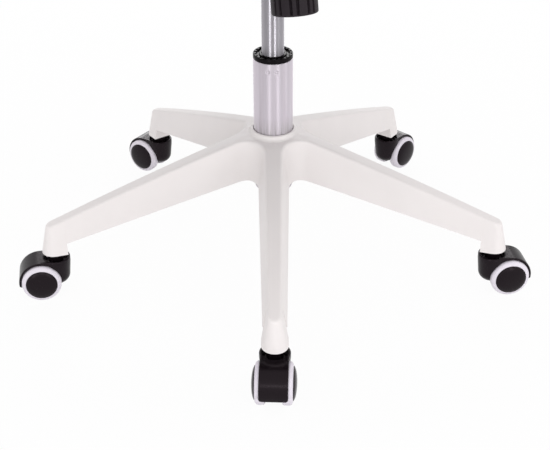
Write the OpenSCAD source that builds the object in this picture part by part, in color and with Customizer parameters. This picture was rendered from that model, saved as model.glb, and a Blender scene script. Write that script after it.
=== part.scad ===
// Swivel task chair: five-legged moulded base on twin-wheel casters, gas lift, knee-tilt
// mechanism with a tension knob, upholstered seat and back.
// Millimetres. Z up from the floor, the sitter faces -Y, the column axis is the Z axis.

/* [Base] */
// Distance from the column axis to each caster stem
stem_circle = 294; // [240:1:340]
// Height of a leg's top edge at the hub
leg_root_top = 179.1; // [150:0.1:200]
// Height of a leg's top edge over the caster stem
leg_tip_top = 102.8; // [85:0.1:120]
// Height of a leg's lower edge at the hub
leg_root_bottom = 127.8; // [100:0.1:145]
// Height of a leg's lower edge over the caster stem
leg_tip_bottom = 73.8; // [64:0.1:80]
// Half width of a leg's top at the hub
leg_root_half_top = 10.8; // [8:0.1:16]
// Half width of a leg's top at the tip
leg_tip_half_top = 7.8; // [6:0.1:12]
// Half width of a leg's lower edge at the hub
leg_root_half = 19.3; // [14:0.1:26]
// Half width of a leg's lower edge at the tip
leg_tip_half = 13.9; // [10:0.1:18]
// Height of the rim round the column
hub_top = 190.4; // [170:0.1:200]
// Underside of the hub
hub_bottom = 116; // [110:0.5:120]
// Underside of the boot round each caster stem
boot_bottom = 61.8; // [58:0.1:66]
// Turn of the base against the seat
base_turn = -20; // [-36:1:36]

/* [Casters] */
// Wheel diameter
wheel_d = 50; // [40:1:65]
// Distance from the stem axis back to the axle
trail = 20.4; // [14:0.1:26]
// Width of the hood over the wheels
hood_w = 33.4; // [26:0.1:36]
// Stem diameter
stem_d = 11; // [9:0.5:12]
// Turn of each caster away from its leg's line
caster_turn = [-3, 26, -8, 19, -9];

/* [Gas lift] */
// Column tube diameter
column_d = 50; // [45:0.5:55]
// Top of the column tube
column_top = 287; // [240:1:320]
// Gas cylinder diameter
cylinder_d = 28; // [25:0.5:30]
// Downward travel of the lift from the pose drawn
lift_travel = 80; // [40:1:90]

/* [Mechanism] */
// Lean of the tension knob's axis, its lower end toward the front
knob_lean = 13; // [0:0.5:25]
// Tension knob diameter
knob_d = 54.6; // [40:0.1:60]
// Tension knob height
knob_h = 45; // [25:0.5:50]
// Distance of the knob's lower face in front of the column axis
knob_y = 75.5; // [60:0.1:95]
// Height of the knob's lower face
knob_z = 370.8; // [360:0.1:390]
// Distance of the tilt axle in front of the column axis
axle_y = 115; // [100:0.5:125]
// Height of the tilt axle
axle_z = 462; // [455:0.5:470]
// Underside of the seat plate
plate_z = 482; // [480:0.5:490]

/* [Seat and back] */
// Seat width
seat_w = 480; // [420:1:540]
// Seat depth
seat_d = 465; // [400:1:500]
// Seat cushion thickness at the crown
seat_h = 58; // [40:1:80]
// Back width
back_w = 430; // [360:1:480]
// Back height
back_h = 440; // [360:1:560]
// Lean of the back from upright
back_lean = 8; // [0:0.5:15]

/* [Hidden] */
$fn = 72;
legs = 5;
root_r = 60;
leg_slope = (leg_root_top - leg_tip_top) / (stem_circle - root_r);
edge_r = 4;
leg_wall = 3.6;
leg_roof = 5;
rib_t = 3;
rib_lift = 9;
boot_half = 15.7;
boot_end = 16;
boot_in = 14.5;
web_low_r = 19;
web_top_r = 30;
sleeve_r = 30;
rim_r = 29.6;
dish_r = 52;
dish = 3.5;
taper = 1 / 75;
tube_bottom = 107;
tube_wall = 1.6;
bush_gap = 0.08;
bush_notches = 20;
rod_r = 5;
cyl_top = 446;
cyl_taper_z = 396;
cyl_tip_r = cylinder_d / 2 - 0.7;
cyl_bore_r = 11.4;
pin_r = 4;
cyl_bottom = tube_bottom + 10 + lift_travel + 5;
bush_top = column_top + 6;
stem_top = boot_bottom + 22;
wheel_r = wheel_d / 2;
tyre_in = 9.8;
tyre_flat = 17.4;
tyre_out = 21.8;
cap_out = 26;
well_in = 8.8;
rim = 19.8;
hood_gap = 1;
hood_t = 2.4;
face_end = 10.5;
collar_r = 18.2;
collar_z = 54;
band_z = 46.5;
cup_r = 15.4;
cup_z = 47;
bowl_r = 16.3;
bowl_z = 15.7;
bowl_bend = 13;
flange_r = 9;
flange_z = boot_bottom - 2.5;
neck_r = 9.5;
axle_r = 3;
pan_z = plate_z + 3;
pan_t = 12;
cushion_z = pan_z + pan_t;
seat_y = -12;
back_z = 590;
back_y = 252;
white = [0.92, 0.91, 0.91];
black = [0.13, 0.13, 0.14];
steel = [0.72, 0.70, 0.75];
cloth = [0.20, 0.21, 0.23];

function mix(a, b, t) = a + (b - a) * t;
function leg_t(r) = (r - root_r) / (stem_circle - root_r);
// A leg bows up a little along its length, and its top dishes where it meets the rim of the hub
function bow(r) = 1.5 * (1 - pow(2 * leg_t(r) - 1, 2))
  - dish * pow(max(0, (dish_r - r) / (dish_r - 30)), 2);
function leg_top(r) = mix(leg_root_top, leg_tip_top, leg_t(r)) + bow(r);
function leg_low(r) = mix(leg_root_bottom, leg_tip_bottom, leg_t(r));
function half_top(r) = mix(leg_root_half_top, leg_tip_half_top, leg_t(r));
function half_low(r) = mix(leg_root_half, leg_tip_half, leg_t(r));
function leg_angle(k) = -90 + base_turn + 72 * (k - 1);
function mean(p) = [for (i = [0:2]) [for (q = p) q[i]] * [for (q = p) 1] / len(p)];
function column_r(z) = column_d / 2 - max(0, hub_top - z) * taper;
function unit(v) = v / norm(v);
function sgn_pow(v, e) = sign(v) * pow(abs(v), e);

// Closed skin over rings of equal length; rings run anticlockwise seen from the last one
module skin(rings) {
  n = len(rings[0]);
  m = len(rings);
  points = concat([for (r = rings) each r], [mean(rings[0]), mean(rings[m - 1])]);
  sides = [for (i = [0:m - 2]) for (j = [0:n - 1])
    let (a = i * n + j, b = i * n + (j + 1) % n, c = b + n, d = a + n)
      each [[a, d, c], [a, c, b]]];
  first = [for (j = [0:n - 1]) [m * n, j, (j + 1) % n]];
  last = [for (j = [0:n - 1]) [m * n + 1, (m - 1) * n + (j + 1) % n, (m - 1) * n + j]];
  polyhedron(concat(points), concat(sides, first, last), convexity = 8);
}

// Base

function leg_ring(r) =
  let (w = half_low(r), v = half_top(r), z = leg_top(r))
  concat([[r, -w, leg_low(r)], [r, w, leg_low(r)]],
    [for (a = [10:20:90]) [r, v - edge_r + edge_r * cos(a) * 1.1, z - edge_r + edge_r * sin(a)]],
    [for (a = [90:20:170]) [r, edge_r - v + edge_r * cos(a) * 1.1, z - edge_r + edge_r * sin(a)]]);

function boot_ring(w, e, lift, inset) =
  [for (p = concat([[inset - boot_in, -w]], [for (a = [-90:15:90]) [e * cos(a), w * sin(a)]],
    [[inset - boot_in, w]]))
    [stem_circle + p[0], p[1], lift ? leg_tip_top - inset - p[0] * leg_slope : boot_bottom]];

function hollow_ring(r) =
  let (w = half_low(r) - leg_wall, v = half_top(r) - leg_wall + 1)
  [[r, -w - 0.4, leg_low(r) - 2], [r, w + 0.4, leg_low(r) - 2],
   [r, v, leg_top(r) - leg_roof], [r, -v, leg_top(r) - leg_roof]];

// Outline of the web between two legs: an arc of radius rho tangent to both sides, which are
// w_root from a leg's middle at its root and w_tip at its tip
function web_arc(k, w_root, w_tip, rho) =
  let (m = (w_tip - w_root) / (stem_circle - root_r),
       h = 180 / legs,
       c = (rho * sqrt(1 + m * m) + w_root - root_r * m) / (sin(h) - m * cos(h)),
       s = 90 - h + atan(m),
       a0 = leg_angle(k) + h)
  [for (i = [0:8]) let (a = a0 + 180 + s - s * i / 4)
    [c * cos(a0) + rho * cos(a), c * sin(a0) + rho * sin(a)]];

module web() {
  low = [for (k = [1:legs]) each web_arc(k, leg_root_half, leg_tip_half, web_low_r)];
  top = [for (k = [1:legs]) each web_arc(k, leg_root_half_top - 0.3, leg_tip_half_top - 0.3, web_top_r)];
  skin([[for (p = low) [p[0], p[1], leg_low(norm(p))]],
        [for (p = top) [p[0], p[1], leg_top(norm(p)) - 0.4]]]);
}

module leg() {
  difference() {
    skin([for (r = [32, 42, 52, 90, 142, 194, 245, stem_circle]) leg_ring(r)]);
    skin([for (r = [48, 177, stem_circle - boot_in - 3]) hollow_ring(r)]);
  }
  skin([boot_ring(boot_half, boot_end, false, 0), boot_ring(leg_tip_half_top + 0.3, 7.6, true, 2),
        boot_ring(leg_tip_half_top - 1.6, 6, true, 0.6)]);
  // one rib along the leg and three across, stopping short of the lower edge
  rotate([90, 0, 0]) linear_extrude(rib_t, center = true)
    let (a = 46, b = stem_circle - boot_in + 2)
    polygon([[a, leg_low(a) + rib_lift], [b, leg_low(b) + rib_lift],
      [b, leg_top(b) - 4], [a, leg_top(a) - 4]]);
  for (r = [105, 165, 225])
    translate([r, 0, 0]) rotate([90, 0, 90]) linear_extrude(rib_t, center = true)
      let (low = half_low(r) - 2.5, top = half_top(r) - 1)
      polygon([[-low, leg_low(r) + rib_lift], [low, leg_low(r) + rib_lift],
        [top, leg_top(r) - 4], [-top, leg_top(r) - 4]]);
}

module star_base() color(white) difference() {
  union() {
    web();
    for (k = [1:legs]) rotate(leg_angle(k)) leg();
    rotate_extrude() polygon([[20, hub_bottom], [sleeve_r - 1, hub_bottom], [sleeve_r, hub_bottom + 1.5],
      [sleeve_r, hub_top - 10], [rim_r, hub_top - 7], [rim_r, hub_top - 3], [rim_r - 0.6, hub_top - 1.3],
      [rim_r - 1.7, hub_top - 0.3], [rim_r - 2.8, hub_top], [20, hub_top]]);
  }
  translate([0, 0, 50]) cylinder(h = hub_top - 50, r1 = column_r(50), r2 = column_r(hub_top));
  translate([0, 0, hub_top - 1.4]) cylinder(h = 3, r1 = column_d / 2 - 0.1, r2 = column_d / 2 + 1.4);
  for (k = [1:legs]) rotate(leg_angle(k)) translate([stem_circle, 0, 0])
    cylinder(h = stem_top + 0.5, d = stem_d);
}

// Gas lift

module column_tube() color(steel) rotate_extrude()
  polygon([[rod_r + 1.2, tube_bottom], [column_r(tube_bottom), tube_bottom], [column_r(hub_top), hub_top],
    [column_d / 2, column_top - 1], [column_d / 2 - 1, column_top], [column_d / 2 - 1.5, column_top],
    [column_r(tube_bottom) - tube_wall, tube_bottom + 3], [rod_r + 1.2, tube_bottom + 3]]);

module column_bush() color(black) difference() {
  rotate_extrude() polygon([[cylinder_d / 2 + bush_gap, column_top - 70], [22.6, column_top - 70],
    [column_d / 2 - 1.75, column_top], [column_d / 2, column_top], [column_d / 2, bush_top - 1],
    [column_d / 2 - 1, bush_top], [21, bush_top], [20.4, bush_top - 2.4], [17.4, bush_top - 2.4],
    [16.8, bush_top - 0.4], [cylinder_d / 2 + bush_gap, bush_top - 0.4]]);
  for (k = [1:bush_notches]) rotate(360 * k / bush_notches + 8)
    translate([18.6, -1.6, bush_top - 2.4]) cube([5, 3.2, 4]);
}

module thrust_bearing() color(steel) translate([0, 0, tube_bottom + 3]) {
  difference() { cylinder(h = 1.6, r = 12); translate([0, 0, -1]) cylinder(h = 4, r = 6); }
  for (k = [0:9]) rotate(36 * k) translate([9, 0, 3.6]) sphere(r = 2);
}

module piston_rod() color(steel) rotate_extrude()
  polygon([[0, tube_bottom - 5], [3.2, tube_bottom - 5], [3.2, tube_bottom - 3.4],
    [rod_r, tube_bottom - 3.4], [rod_r, tube_bottom + 9], [11.5, tube_bottom + 9],
    [11.5, tube_bottom + 11], [rod_r, tube_bottom + 11],
    [rod_r, cyl_bottom + 16], [cyl_bore_r - 0.2, cyl_bottom + 16], [cyl_bore_r - 0.2, cyl_bottom + 26],
    [0, cyl_bottom + 26]]);

module rod_clip() color(steel) translate([0, 0, tube_bottom - 3.4]) difference() {
  cylinder(h = 1.4, r = 10);
  translate([0, 0, -1]) cylinder(h = 4, r = rod_r);
}

module gas_cylinder() color(steel) rotate_extrude()
  polygon([[rod_r + 0.1, cyl_bottom], [cylinder_d / 2, cyl_bottom], [cylinder_d / 2, cyl_taper_z],
    [cyl_tip_r, cyl_top], [pin_r + 0.2, cyl_top], [pin_r + 0.2, cyl_top - 26], [cyl_bore_r, cyl_top - 26],
    [cyl_bore_r, cyl_bottom + 8], [rod_r + 0.1, cyl_bottom + 8]]);

module release_pin() color(steel) translate([0, 0, cyl_top - 24]) cylinder(h = 28, r = pin_r);

// Mechanism, with the tension knob's own frame: origin in its lower face, Z up its axis

module knob_frame() translate([0, -knob_y, knob_z]) rotate([-knob_lean, 0, 0]) children();

// The pressed steel housing: a tray whose floor rises toward the front, square to the knob's axis
sheet = 3;
house_w = 132;
house_low = 412;
house_top = 474;
house_front = -131;
house_back = 72;
house_rear_top = 430;
floor_bend = -25;
socket_r = 21;
tilt_axle_r = 6;
axle_span = 152;
pivot_x = -30;
pivot_z = 448;
pivot_r = 2;
floor_up = (knob_y + floor_bend) * sin(knob_lean) + (house_low - knob_z) * cos(knob_lean);
function floor_z(y) = house_low + max(0, floor_bend - y) * tan(knob_lean);

module housing_side()
  polygon([[house_back, house_low], [house_back, house_rear_top], [-100, house_top - 3],
    [house_front, house_top], [house_front, floor_z(house_front)], [floor_bend, house_low]]);

module housing_floor()
  polygon([[house_back, house_low], [house_back, house_rear_top], [house_back - sheet, house_rear_top],
    [house_back - sheet, house_low + sheet], [floor_bend, house_low + sheet],
    [house_front + sheet, floor_z(house_front + sheet) + sheet + 0.1], [house_front + sheet, house_top],
    [house_front, house_top], [house_front, floor_z(house_front)], [floor_bend, house_low]]);

module across(w) rotate([90, 0, 90]) linear_extrude(w, center = true) children();

module mech_housing() color(black) difference() {
  union() {
    for (s = [-1, 1]) translate([s * (house_w - sheet) / 2, 0, 0]) across(sheet) housing_side();
    across(house_w - 2 * sheet + 0.5) housing_floor();
    translate([0, 0, house_low - 13]) cylinder(h = 46, r = socket_r);
    for (s = [-1, 1]) translate([pivot_x, s * 6.5, house_low + 2]) rotate([90, 0, 0])
      linear_extrude(2.6, center = true) polygon([[-8, 0], [8, 0], [5, 40], [-5, 40]]);
    knob_frame() translate([0, 0, floor_up - 3]) cylinder(h = 4, r = 14);
  }
  translate([0, 0, cyl_taper_z]) cylinder(h = cyl_top - cyl_taper_z, r1 = cylinder_d / 2, r2 = cyl_tip_r);
  translate([-100, -axle_y, axle_z]) rotate([0, 90, 0]) cylinder(h = 200, r = tilt_axle_r);
  translate([pivot_x, 0, pivot_z]) rotate([90, 0, 0]) cylinder(h = 40, r = pivot_r, center = true);
  translate([-house_w / 2 - 4, -6, 434]) cube([10, 12, 40]);
  knob_frame() cylinder(h = floor_up + 20, r = bolt_r + 0.4);
}

module tilt_axle() color(steel) translate([-axle_span / 2, -axle_y, axle_z]) rotate([0, 90, 0]) {
  cylinder(h = axle_span, r = tilt_axle_r);
  for (z = [-3, axle_span]) translate([0, 0, z]) cylinder(h = 3, r = 9);
}

// One unbroken coil with closer end turns, standing between the follower and the plate's cup
spring_low = floor_up + 20.3;
spring_high = floor_up + 55;
spring_r = 12.5;
wire_r = 1.6;
spring_turns = 5;
bolt_r = 5;
flute_w = 3;
flute_deep = 3.6;
spring_line = [for (i = [0:spring_turns * 8])
  let (a = 45 * i, f = i / (spring_turns * 8),
       g = f < 0.2 ? 0.6 * f : f > 0.8 ? 1 - 0.6 * (1 - f) : 0.12 + (f - 0.2) * 0.76 / 0.6)
  [spring_r * cos(a), spring_r * sin(a), mix(spring_low + 1.7, spring_high - 1.7, g)]];
spring_gap = min([for (i = [0:len(spring_line) - 1]) for (j = [i + 5:1:len(spring_line) - 1])
  norm(spring_line[i] - spring_line[j])]) - 2 * wire_r;
echo(spring_gap = spring_gap);

module tilt_spring() color(steel) knob_frame()
  skin([for (q = spring_line) let (u = [q[0], q[1], 0] / spring_r)
    [for (b = [0:60:300]) q + wire_r * (cos(b) * u + [0, 0, sin(b)])]]);

module tension_bolt() color(steel) knob_frame() {
  translate([0, 0, 4]) cylinder(h = floor_up + 26, r = bolt_r);
  translate([0, 0, floor_up - 4]) cylinder(h = 0.8, r = 2 * bolt_r);
}

module tension_knob() color(black) knob_frame() difference() {
  let (r = knob_d / 2)
    rotate_extrude() polygon([[0, 4], [0, 1.5], [r - 10, 1.5], [r - 8, 0], [r - 2, 0], [r, 2],
      [r, knob_h - 5], [r - 3, knob_h - 1], [r - 6, knob_h], [bolt_r, knob_h], [bolt_r, 4]]);
  // flutes in pairs
  for (k = [0:7]) for (d = [0, 17]) rotate(45 * k + d + 16)
    translate([knob_d / 2 - flute_deep, -flute_w / 2, 4]) cube([10, flute_w, knob_h]);
}

module spring_follower() color(steel) knob_frame() translate([0, 0, floor_up + 14]) difference() {
  cylinder(h = 6, r = 17);
  translate([0, 0, -1]) cylinder(h = 8, r = bolt_r + 0.2);
}

// The lever lies on the sitter's right; its inner end stands over the release pin
lever = [[5, 453.6], [-16, 453.6], [pivot_x, pivot_z], [-92, 441], [-196, 424]];
lever_r = 3.2;

module lever_run(i) let (v = lever[i + 1] - lever[i])
  translate([lever[i][0], 0, lever[i][1]]) rotate([0, 90 - atan2(v[1], v[0]), 0]) children();

// The lever's centre line, its bends rounded
lever_line = concat([lever[0]],
  [for (i = [1:3])
    let (q = lever[i], a = q + 8 * unit(lever[i - 1] - q), b = q + 8 * unit(lever[i + 1] - q))
    for (f = [0:0.25:1]) (1 - f) * (1 - f) * a + 2 * f * (1 - f) * q + f * f * b],
  [lever[4]]);

module height_lever() color(steel) difference() {
  skin([for (i = [0:len(lever_line) - 1])
    let (t = unit(lever_line[min(i + 1, len(lever_line) - 1)] - lever_line[max(i - 1, 0)]))
    [for (c = [0:22.5:337.5]) let (q = lever_line[i] + lever_r * sin(c) * [-t[1], t[0]])
      [q[0], lever_r * cos(c), q[1]]]]);
  translate([pivot_x, 0, pivot_z]) rotate([90, 0, 0]) cylinder(h = 40, r = pivot_r + 0.04, center = true);
}

grip_start = 58;

module lever_grip() color(black) lever_run(3) translate([0, 0, grip_start]) difference() {
  rotate_extrude() polygon([[0, 0], [4.5, 0], [6, 3], [7, 30], [9, 62], [8, 67], [5, 69], [0, 69]]);
  translate([0, 0, -1]) cylinder(h = norm(lever[4] - lever[3]) - grip_start + 1, r = lever_r + 0.02);
}

pivot_span = 17.6;

module lever_pivot() color(steel) translate([pivot_x, pivot_span / 2, pivot_z]) rotate([90, 0, 0]) {
  cylinder(h = pivot_span, r = pivot_r);
  for (z = [-1, pivot_span]) translate([0, 0, z]) cylinder(h = 1, r = 2 * pivot_r);
}

// Bolt places: the plate to the pan, and the back bar to the plate
pan_bolt_x = 80;
pan_bolt_y = [-70, 60];
bar_bolt_x = 18;
bar_bolt_y = [86, 102];
bolt_hole_r = 3.2;
plate_t = pan_z - plate_z;
ear_x = 70.5;

module at_pan_bolts(z) for (x = [-1, 1], y = pan_bolt_y) translate([x * pan_bolt_x, y, z]) children();
module at_bar_bolts(z) for (x = [-1, 1], y = bar_bolt_y) translate([x * bar_bolt_x, y, z]) children();

module seat_plate() color(black) difference() {
  union() {
    translate([-92, -136, plate_z]) cube([184, 250, plate_t]);
    for (s = [-1, 1]) translate([s * ear_x, 0, 0]) across(sheet) {
      polygon([[-130, plate_z + 1], [-130, axle_z], [-100, axle_z], [-84, plate_z + 1]]);
      translate([-axle_y, axle_z]) circle(r = 15);
    }
    intersection() {
      knob_frame() translate([0, 0, spring_high + 0.3]) difference() {
        cylinder(h = 30, r = 18);
        translate([0, 0, -1]) cylinder(h = 40, r = 9);
      }
      translate([-40, -100, plate_z - 30]) cube([80, 100, 31]);
    }
  }
  translate([-38, -28, plate_z - 1]) cube([76, 96, 6]);
  translate([-100, -axle_y, axle_z]) rotate([0, 90, 0]) cylinder(h = 200, r = tilt_axle_r + 0.06);
  at_pan_bolts(plate_z - 1) cylinder(h = 6, r = bolt_hole_r);
  at_bar_bolts(plate_z - 1) cylinder(h = 6, r = bolt_hole_r);
}

// Seat

function round_box(w, d, p, n) = [for (i = [0:n - 1]) let (a = 360 * i / n)
  [w / 2 * sgn_pow(cos(a), 2 / p), d / 2 * sgn_pow(sin(a), 2 / p)]];
arm_x = 178;
arm_y = [-62, 18];
arm_hole_r = 3.35;

module seat_pan() color(black) difference() {
  translate([0, seat_y, pan_z]) linear_extrude(pan_t) {
    square([seat_w - 110, seat_d - 50], center = true);
    square([seat_w - 50, seat_d - 110], center = true);
    for (x = [-1, 1], y = [-1, 1]) translate([x * (seat_w / 2 - 55), y * (seat_d / 2 - 55)]) circle(r = 30);
  }
  at_pan_bolts(pan_z - 1) cylinder(h = 9, r = 3);
  for (x = [-arm_x, arm_x], y = arm_y) translate([x, y, pan_z - 1]) cylinder(h = 11, r = arm_hole_r);
  at_bar_bolts(pan_z - 1) cylinder(h = 5, r = 6);
}

module seat_bolts() color(steel) at_pan_bolts(plate_z) {
  cylinder(h = 10, r = 3);
  translate([0, 0, -4]) cylinder(h = 4, r = 5.5);
}

module seat_cushion() color(cloth) {
  // scale of the outline and share of the height, from the flat base to the crown
  rows = [[0.905, 0], [0.965, 0.05], [0.995, 0.21], [1, 0.41], [0.99, 0.62], [0.965, 0.76], [0.9, 0.86],
    [0.74, 0.94], [0.45, 0.983], [0.2, 1]];
  skin([for (q = rows) [for (p = round_box(seat_w * q[0], seat_d * q[0], 5, 56))
    let (front = max(0, -p[1] / (seat_d / 2) - 0.45))
    [p[0], p[1] + seat_y, cushion_z + q[1] * seat_h * (1 - 0.9 * front * front)]]]);
}

// Back: a curved sheet in (across, up, through) coordinates

lumbar = 24;
lumbar_v = 110;
wrap = 34;
cushion_gap = 1;
cushion_inset = 7;

function back_at(u, v, d) =
  let (bow = lumbar * exp(-pow(v / lumbar_v - 1, 2)) + wrap * pow(u / (back_w / 2), 2))
  [u, back_y + v * tan(back_lean) - bow + d, back_z + v];

// Outline of the back, its points spread evenly round it
function back_ring(s, d, inset) = [for (i = [0:63])
  let (a = 5.625 * i, c = sgn_pow(cos(a), 0.8), n = sgn_pow(sin(a), 0.8),
       k = s * pow(pow(abs(c), 4.2) + pow(abs(n), 4.2), -1 / 4.2))
  back_at((back_w / 2 - inset) * c * k, back_h / 2 - (back_h / 2 - inset) * n * k, d)];

module back_cushion() color(cloth)
  skin([for (q = [[0.15, 0], [0.3, 0], [0.45, 0], [0.6, 0], [0.75, 0], [0.88, 0], [0.94, 0], [0.985, 5],
      [1, 14], [0.99, 24], [0.95, 32], [0.85, 37], [0.7, 40], [0.5, 41.5], [0.3, 42.5], [0.15, 43]])
    back_ring(q[0], -cushion_gap - q[1], cushion_inset)]);

bar_w = 64;
bar_t = 8;
bar_bend = 60;
bar_back = 188;
bar_start = 78;
bar_top = 780;
// Centre line of the bar: back under the seat, round a bend, up with the back's lean
function bar_arc(a, o) =
  [bar_back + (bar_bend - o) * cos(a), plate_z - bar_t / 2 + bar_bend + (bar_bend - o) * sin(a)];
function bar_line(o) = concat([[bar_start, plate_z - bar_t / 2 + o]],
  [for (a = [-90:9:-back_lean]) bar_arc(a, o)],
  [let (q = bar_arc(-back_lean, o)) [q[0] + (bar_top - q[1]) * tan(back_lean), bar_top]]);
function reverse(p) = [for (i = [len(p) - 1:-1:0]) p[i]];
// A frame on the bar's upright at height z: Z square to the bar, toward the front
module on_bar(z) let (q = bar_arc(-back_lean, 0))
  translate([0, q[0] + (z - q[1]) * tan(back_lean), z]) rotate([90 - back_lean, 0, 0]) children();
bolt_z = [695, 750];
boss_z = 721;
boss = [76, 98];
boss_gap = 0.02;
shell_t = 7;
function bar_face(z) = let (q = bar_arc(-back_lean, 0))
  q[0] + (z - q[1]) * tan(back_lean) - (bar_t / 2 + boss_gap) / cos(back_lean);
// Outline of the raised pad behind the shell: on the bar's face, or inside the shell
function boss_ring(inside) = [for (p = round_box(boss[0], boss[1], 8, 40)) let (z = boss_z + p[1])
  inside ? back_at(p[0], z - back_z, shell_t / 2) : [p[0], bar_face(z), z]];
module at_back_bolts()
  for (x = [-1, 1], z = bolt_z) on_bar(z) translate([x * bar_bolt_x, 0, 0]) children();

module back_bar() color(black) difference() {
  across(bar_w) polygon(concat(bar_line(bar_t / 2), reverse(bar_line(-bar_t / 2))));
  at_bar_bolts(plate_z - 20) cylinder(h = 30, r = bolt_hole_r);
  at_back_bolts() cylinder(h = 30, r = bolt_hole_r, center = true);
}

module bar_bolts() color(steel) at_bar_bolts(plate_z - bar_t) {
  translate([0, 0, -4]) cylinder(h = 4, r = 5);
  cylinder(h = bar_t + 3, r = 3);
  translate([0, 0, bar_t + 3]) cylinder(h = 3, r = 5);
}

module back_shell() color(white) difference() {
  union() {
    // scale of the outline and share of the thickness, over the front, the rim and the rear
    skin([for (q = [[0.15, 0], [0.3, 0], [0.45, 0], [0.6, 0], [0.75, 0], [0.88, 0], [0.97, 0], [0.99, 0.11],
        [1, 0.5], [0.99, 0.86], [0.97, 1], [0.88, 1], [0.75, 1], [0.6, 1], [0.45, 1], [0.3, 1], [0.15, 1]])
      back_ring(q[0], q[1] * shell_t, 0)]);
    skin([boss_ring(false), boss_ring(true)]);
  }
  at_back_bolts() cylinder(h = 20, r = 3.02);
}

module back_bolts() color(steel) at_back_bolts() {
  translate([0, 0, -bar_t / 2]) cylinder(h = bar_t + 12, r = 3);
  translate([0, 0, -bar_t / 2 - 3.5]) cylinder(h = 3.5, r = 5.5);
}

// Casters, drawn with the stem on Z and the axle behind it along +X

module at_stem(k) rotate(leg_angle(k)) translate([stem_circle, 0, 0]) children();
module at_caster(k) at_stem(k) rotate(caster_turn[k - 1]) children();
module at_wheel(k, s) at_caster(k) translate([trail, 0, wheel_r]) rotate([s * 90, 0, 0]) children();

module caster_stems() color(steel) for (k = [1:legs]) at_stem(k) {
  translate([0, 0, 36]) cylinder(h = stem_top - 36, d = stem_d);
  translate([0, 0, flange_z]) cylinder(h = boot_bottom - flange_z, r = flange_r);
}

// Side of the fender over the wheels, and of the web between them
module fender_side() let (r = wheel_r + hood_gap + hood_t) {
  difference() {
    translate([trail, wheel_r]) circle(r = r);
    translate([trail, wheel_r]) polygon([[0, 0], 60 * [cos(face_end), -sin(face_end)], [60, -70],
      [-60, -70], -60 * [cos(38), sin(38)]]);
  }
  translate([trail, wheel_r]) circle(r = 19);
  polygon([[0, bowl_z], [trail, bowl_z], [trail, wheel_r + r], [4, collar_z], [0, collar_z]]);
}

// Round housing of the stem: a tapered bowl, with a neck up its middle to the stem's flange
module stem_bowl() rotate_extrude() polygon(concat([[0, bowl_z]],
  [for (a = [-90:15:0]) [bowl_r - bowl_bend, bowl_z + bowl_bend] + bowl_bend * [cos(a), sin(a)]],
  [[collar_r, band_z], [collar_r, collar_z - 1], [collar_r - 1, collar_z], [neck_r, collar_z],
   [neck_r, flange_z - 0.2], [0, flange_z - 0.2]]));

module caster_hood(k) color(black) at_caster(k) difference() {
  union() {
    rotate([90, 0, 0]) linear_extrude(hood_w, center = true) fender_side();
    stem_bowl();
  }
  for (s = [-1, 1]) translate([trail, s * (well_in + 20), wheel_r]) rotate([90, 0, 0])
    cylinder(h = 40, r = wheel_r + hood_gap, center = true);
  translate([0, 0, cup_z]) difference() {
    cylinder(h = 20, r = cup_r);
    translate([0, 0, -1]) cylinder(h = 30, r = neck_r);
  }
  translate([0, 0, 35.6]) cylinder(h = 40, d = stem_d + 0.12);
  translate([trail, 0, wheel_r]) rotate([90, 0, 0]) cylinder(h = 60, r = axle_r, center = true);
}

module caster_axle(k) color(steel) at_wheel(k, 1) cylinder(h = 42, r = axle_r, center = true);

module wheel(k, s) color(black) at_wheel(k, s) rotate_extrude()
  polygon([[axle_r + 0.06, tyre_in - 0.6], [7, tyre_in - 0.6], [7, 13], [16, 13], [16, tyre_in],
    [rim, tyre_in], [rim, tyre_out], [rim - 0.4, tyre_out + 0.7], [17.9, tyre_out + 1.8],
    [13.5, tyre_out + 3.1], [7.5, cap_out - 0.3], [0, cap_out], [0, 21.4], [axle_r + 0.06, 21.4]]);

module tyre(k, s) color(white) at_wheel(k, s) rotate_extrude()
  polygon(concat([[rim, tyre_in + 0.1], [wheel_r - 2.4, tyre_in + 0.1], [wheel_r - 0.8, tyre_in + 0.8],
    [wheel_r, tyre_in + 2.4]],
    [for (a = [0:18:90]) [mix(rim, wheel_r, cos(a)), mix(tyre_flat, tyre_out, sin(a))]]));

star_base();
column_tube();
column_bush();
thrust_bearing();
caster_stems();
piston_rod();
rod_clip();
gas_cylinder();
mech_housing();
tilt_axle();
tilt_spring();
release_pin();
height_lever();
lever_grip();
lever_pivot();
tension_knob();
tension_bolt();
spring_follower();
seat_plate();
seat_pan();
seat_bolts();
seat_cushion();
back_bar();
bar_bolts();
back_shell();
back_bolts();
back_cushion();
for (k = [1:legs]) {
  caster_hood(k);
  caster_axle(k);
  wheel(k, 1);
  wheel(k, -1);
  tyre(k, 1);
  tyre(k, -1);
}
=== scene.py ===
"""Swivel task chair: looks. Metres, in the CAD frame: Z up from the floor, the sitter faces -Y."""
import math

import bmesh
import bpy
from mathutils import Matrix, Vector


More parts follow.
